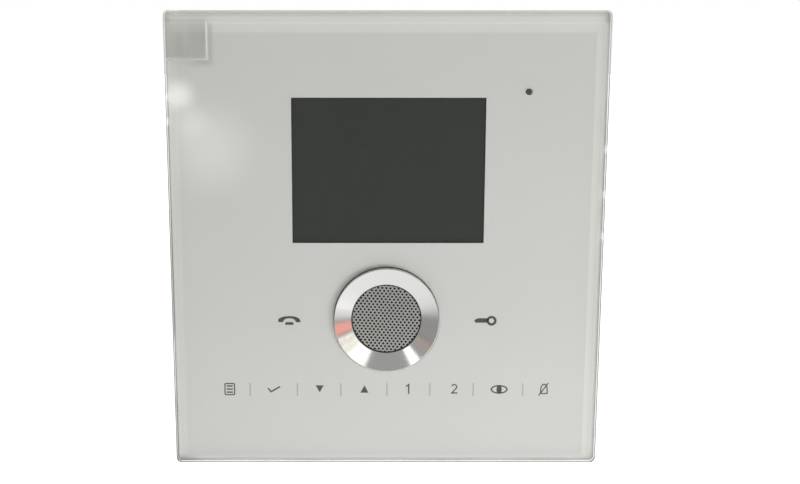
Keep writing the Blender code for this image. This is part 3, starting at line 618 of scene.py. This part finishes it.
def microphone_front():
    lo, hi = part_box("microphone")
    at = ((lo.x + hi.x) / 2 / MM, (lo.z + hi.z) / 2 / MM)
    bm = bmesh.new()
    top = PLATE_BACK + 0.4
    lathe(bm, at, [(0.02, PLATE_BACK), (1.04, PLATE_BACK), (1.04, top - 0.1), (0.94, top), (0.02, top)], 32)
    mesh_look = finish("microphone_mesh", (0.075, 0.075, 0.070), (0.6, 0.75), 0.2, 0.8, 0.2, 0.12, 0.02)
    piece("microphone_mesh", bm, mesh_look)
    bm = bmesh.new()
    lathe(bm, at, [(1.1, PRINT_FACE - 0.1), (1.1, PRINT_FACE + 0.02), (1.6, PRINT_FACE + 0.02),
                   (1.6, PRINT_FACE + 0.004), (1.28, PRINT_FACE + 0.004), (1.28, PRINT_FACE - 0.1)], 48)
    piece("microphone_collar", bm, slot_look["white_print"])


speaker_front()
microphone_front()
key_symbols()
call_symbols()


# ------------------------------------------------------------------ eased edges on the CAD pieces
def eased(node, width, segments=2, limit=40):
    """Soften a CAD node's sharp edges without touching its mesh."""
    obj = cad[node]
    weld = obj.modifiers.new("weld", "WELD")
    weld.merge_threshold = 1e-6
    bevel = obj.modifiers.new("ease", "BEVEL")
    bevel.width = width * MM
    bevel.segments = segments
    bevel.limit_method = "ANGLE"
    bevel.angle_limit = math.radians(limit)
    bevel.use_clamp_overlap = True
    bevel.harden_normals = True


for node, width in (("rear_shell", 0.35), ("front_frame", 0.25), ("terminal_plug", 0.15),
                    ("terminal_header", 0.15), ("switch_body", 0.2), ("wall_plate", 0.15),
                    ("main_board", 0.08), ("rating_label", 0.04)):
    eased(node, width)


# ------------------------------------------------------------------ surface parts on the board's back
PIN_PITCH, PIN_Z = 3.81, -19.2    # the terminal header's solder pins


def lathe_dome(bm, at, radius, base):
    """Low solder cone that stands on the board's back face."""
    steps = ((1.0, 0.0), (0.82, 0.14), (0.55, 0.42), (0.34, 0.9), (0.30, 1.1))
    profile = [(0.02, base)] + [(radius * r, base - h) for r, h in steps] + [(0.02, base - 1.15)]
    lathe(bm, at, profile, 20)


def board_details():
    """Small soldered parts seen through the cable opening, all inside the case."""
    joints, bodies, ends = bmesh.new(), bmesh.new(), bmesh.new()
    top = BOARD_BACK - 0.02
    for i in range(14):            # two rows of seven chip parts
        x = -23.0 + (i % 7) * 3.4
        z = -21.0 - (i // 7) * 3.6
        block(bodies, (x - 0.55, x + 0.55), (z - 0.4, z + 0.4), (top - 0.45, top), 0.06)
        for side in (-1, 1):
            edge = x + side * 0.75
            block(ends, (edge - 0.25, edge + 0.25), (z - 0.42, z + 0.42), (top - 0.5, top), 0.08)
    lo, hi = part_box("terminal_header")
    for i in range(4):
        x = (lo.x + hi.x) / 2 / MM + (i - 1.5) * PIN_PITCH
        lathe_dome(joints, (x, PIN_Z), 0.9, top)
    piece("board_resistors", bodies, slot_look["chip_resin"])
    piece("board_part_ends", ends, slot_look["tin_sheet"])
    piece("board_solder_joints", joints, slot_look["tin_sheet"])


board_details()


# ------------------------------------------------------------------ floor, light and camera
EYE = Vector((-0.00862, -0.40359, 0.06566))     # where the camera stands
CARD_AWAY = 1.0                   # metres from a card to the spot that mirrors it
POOL_AT = (150.0, -350.0, 0.0)
SOFT_BOXES = (
    # degrees round the ring where it shows, half-angle of the flat middle and of the edge, radiance
    (336, 5.0, 9.0, (0.26, 0.25, 0.255)),
    (205, 2.5, 4.0, (1.10, 1.07, 1.00)),
    (216, 4.5, 6.0, (1.10, 1.08, 0.98)),
    (231, 6.0, 7.0, (1.35, 1.34, 1.22)),
    (239, 4.0, 5.5, (1.35, 1.34, 1.22)),
    (209, 0.5, 1.3, (0.66, 0.62, 0.54)),
    (213, 0.3, 0.9, (0.80, 0.77, 0.68)),
    (218, 0.6, 1.4, (0.62, 0.59, 0.50)),
    (304, 3.4, 4.8, (1.9, 1.86, 1.95)),
    (326, 2.5, 5.5, (0.40, 0.345, 0.31)),
)


def mirrored(point, facing):
    """Where the camera's line of sight goes from a mirror at this point that faces that way."""
    to_eye = (EYE - point).normalized()
    return 2 * facing.dot(to_eye) * facing - to_eye


def off_the_ring(degrees):
    """Spot half-way up the speaker ring's dish, and the direction that the camera sees in it."""
    turn = math.radians(degrees)
    slope = math.atan2(DISH - RIM_DROP, RIM_R - DISH_R)
    out = Vector((math.cos(turn), 0.0, math.sin(turn)))
    middle = Vector((SPEAKER[0], RING_LO.y / MM + (DISH + RIM_DROP) / 2, SPEAKER[1]))
    spot = (middle + out * (DISH_R + RIM_R) / 2) * MM
    return spot, mirrored(spot, Vector((0.0, -math.cos(slope), 0.0)) - out * math.sin(slope))


def off_the_panel(x, z):
    """Spot on the flat front plate, and the direction that the camera sees in it."""
    spot = Vector((x * MM, PANEL_LO.y, z * MM))
    return spot, mirrored(spot, Vector((0.0, -1.0, 0.0)))


def studio():
    bm = bmesh.new()
    bmesh.ops.create_grid(bm, x_segments=2, y_segments=2, size=30.0)
    mesh = bpy.data.meshes.new("floor")
    bm.to_mesh(mesh)
    bm.free()
    floor = bpy.data.objects.new("floor", mesh)
    floor.location.z = PANEL_LO.z - 0.22
    scene.collection.objects.link(floor)
    mat, nodes, shader = new_material("pale_floor")
    # a pool of light in front of the object; further off the floor is as dim as the room, except to the eye
    centre = nodes.add("ShaderNodeVectorMath", {0: nodes.place(), 1: POOL_AT}, operation="DISTANCE")
    pool = nodes.span(centre.outputs["Value"], 200.0, 1100.0, 1.0, 0.0)
    seen = nodes.add("ShaderNodeLightPath").outputs["Is Camera Ray"]
    nodes.feed(shader.inputs["Base Color"], nodes.colour(seen, (0.25, 0.25, 0.245), (0.89, 0.89, 0.885)))
    glow = nodes.math("MAXIMUM", nodes.span(pool, 0.0, 1.0, 0.12, 0.62), nodes.math("MULTIPLY", seen, 0.7))
    nodes.feed(shader.inputs["Emission Strength"], glow)
    shader.inputs["Roughness"].default_value = 0.9
    shader.inputs["Specular IOR Level"].default_value = 0.0
    shader.inputs["Emission Color"].default_value = (1, 1, 1, 1)
    mesh.materials.append(mat)

    world = bpy.data.worlds.new("studio")
    world.use_nodes = True
    scene.world = world
    tree = Nodes(world.node_tree)
    background = world.node_tree.nodes["Background"]
    where = tree.add("ShaderNodeTexCoord").outputs["Generated"]
    _, y, z = tree.add("ShaderNodeSeparateXYZ", {0: where}).outputs
    # the room in front of the object is dimmer than the bright wall behind it
    room = tree.span(y, -0.35, 0.25, 0.34, 1.0)
    blue = tree.math("MULTIPLY", room, 0.985)
    tone = tree.add("ShaderNodeCombineColor", {0: room, 1: room, 2: blue}).outputs[0]
    for degrees, inner, outer, radiance in SOFT_BOXES:
        _, middle = off_the_ring(degrees)
        facing = tree.add("ShaderNodeVectorMath", {0: where, 1: tuple(middle)}, operation="DOT_PRODUCT")
        edge, flat = (math.cos(math.radians(angle)) for angle in (outer, inner))
        shape = tree.span(facing.outputs["Value"], edge, flat)
        tone = tree.colour(shape, tone, radiance)
    seen = tree.add("ShaderNodeLightPath").outputs["Is Camera Ray"]
    tree.feed(background.inputs["Color"], tree.colour(seen, tone, (1.0, 1.0, 1.0)))
    background.inputs["Strength"].default_value = 1.0


def card(name, seen_in, size, tint, strength=1.0, fade=False):
    """Plain card that only reflections see: a flag, a tinted reflector or a far lamp beside the camera."""
    spot, direction = seen_in
    middle = spot + direction * CARD_AWAY
    side = middle.cross(Vector((0, 0, 1))).normalized() * size[0] / 2
    up = side.cross(middle).normalized() * size[1] / 2
    bm = bmesh.new()
    bm.faces.new([bm.verts.new(middle + side * sx + up * sz)
                  for sx, sz in ((-1, -1), (1, -1), (1, 1), (-1, 1))])
    mesh = bpy.data.meshes.new(name)
    bm.to_mesh(mesh)
    bm.free()
    mat, nodes, shader = new_material(name)
    tone = nodes.colour(nodes.noise(300.0, 2.0), scaled(tint, 0.95), scaled(tint, 1.05))
    nodes.feed(shader.inputs["Emission Color"], tone)
    shader.inputs["Emission Strength"].default_value = strength
    if fade:
        centre = {0: nodes.place(), 1: tuple(middle / MM)}
        away = nodes.add("ShaderNodeVectorMath", centre, operation="DISTANCE").outputs["Value"]
        nodes.feed(shader.inputs["Alpha"], nodes.span(away, 0.0, max(size) / 2 / MM, 1.0, 0.0))
    shader.inputs["Base Color"].default_value = (0, 0, 0, 1)
    mesh.materials.append(mat)
    obj = bpy.data.objects.new(name, mesh)
    scene.collection.objects.link(obj)
    obj.visible_camera = obj.visible_diffuse = obj.visible_shadow = False


def soft_light(name, location, target, size, power, colour=(1.0, 1.0, 1.0)):
    light = bpy.data.lights.new(name, "AREA")
    light.shape = "RECTANGLE"
    light.size, light.size_y = size
    light.energy = power
    light.color = colour
    obj = bpy.data.objects.new(name, light)
    obj.location = location
    obj.rotation_euler = (Vector(target) - Vector(location)).to_track_quat("-Z", "Y").to_euler()
    obj.visible_glossy = False
    scene.collection.objects.link(obj)


def camera():
    lens = bpy.data.cameras.new("camera")
    lens.sensor_width = 36.0
    lens.lens = 46.94
    lens.shift_x = 0.0441
    lens.clip_start = 0.01
    obj = bpy.data.objects.new("camera", lens)
    obj.location = EYE
    obj.rotation_euler = Euler([math.radians(a) for a in (80.1358, -0.0356, -0.089)])
    scene.collection.objects.link(obj)
    scene.camera = obj


studio()
card("dark_card", off_the_ring(349), (0.45, 0.32), (0.27, 0.26, 0.265))
card("salmon_card", off_the_ring(190), (0.30, 0.15), (0.92, 0.37, 0.31))
card("far_lamp_1", off_the_panel(-73.6, 53.2), (0.06, 0.06), (0.95, 0.95, 0.95), 8.0, fade=True)
card("far_lamp_2", off_the_panel(-68.2, 42.3), (0.07, 0.07), (0.95, 0.95, 0.95), 6.0, fade=True)
card("far_wall", off_the_panel(-62.4, 34.6), (0.16, 0.16), (0.95, 0.95, 0.95), 3.0, fade=True)
soft_light("key_low_right", (0.22, -0.60, -0.19), (0.02, -0.03, -0.03), (0.50, 0.18), 1.6)
camera()
scene.view_settings.view_transform = "Standard"
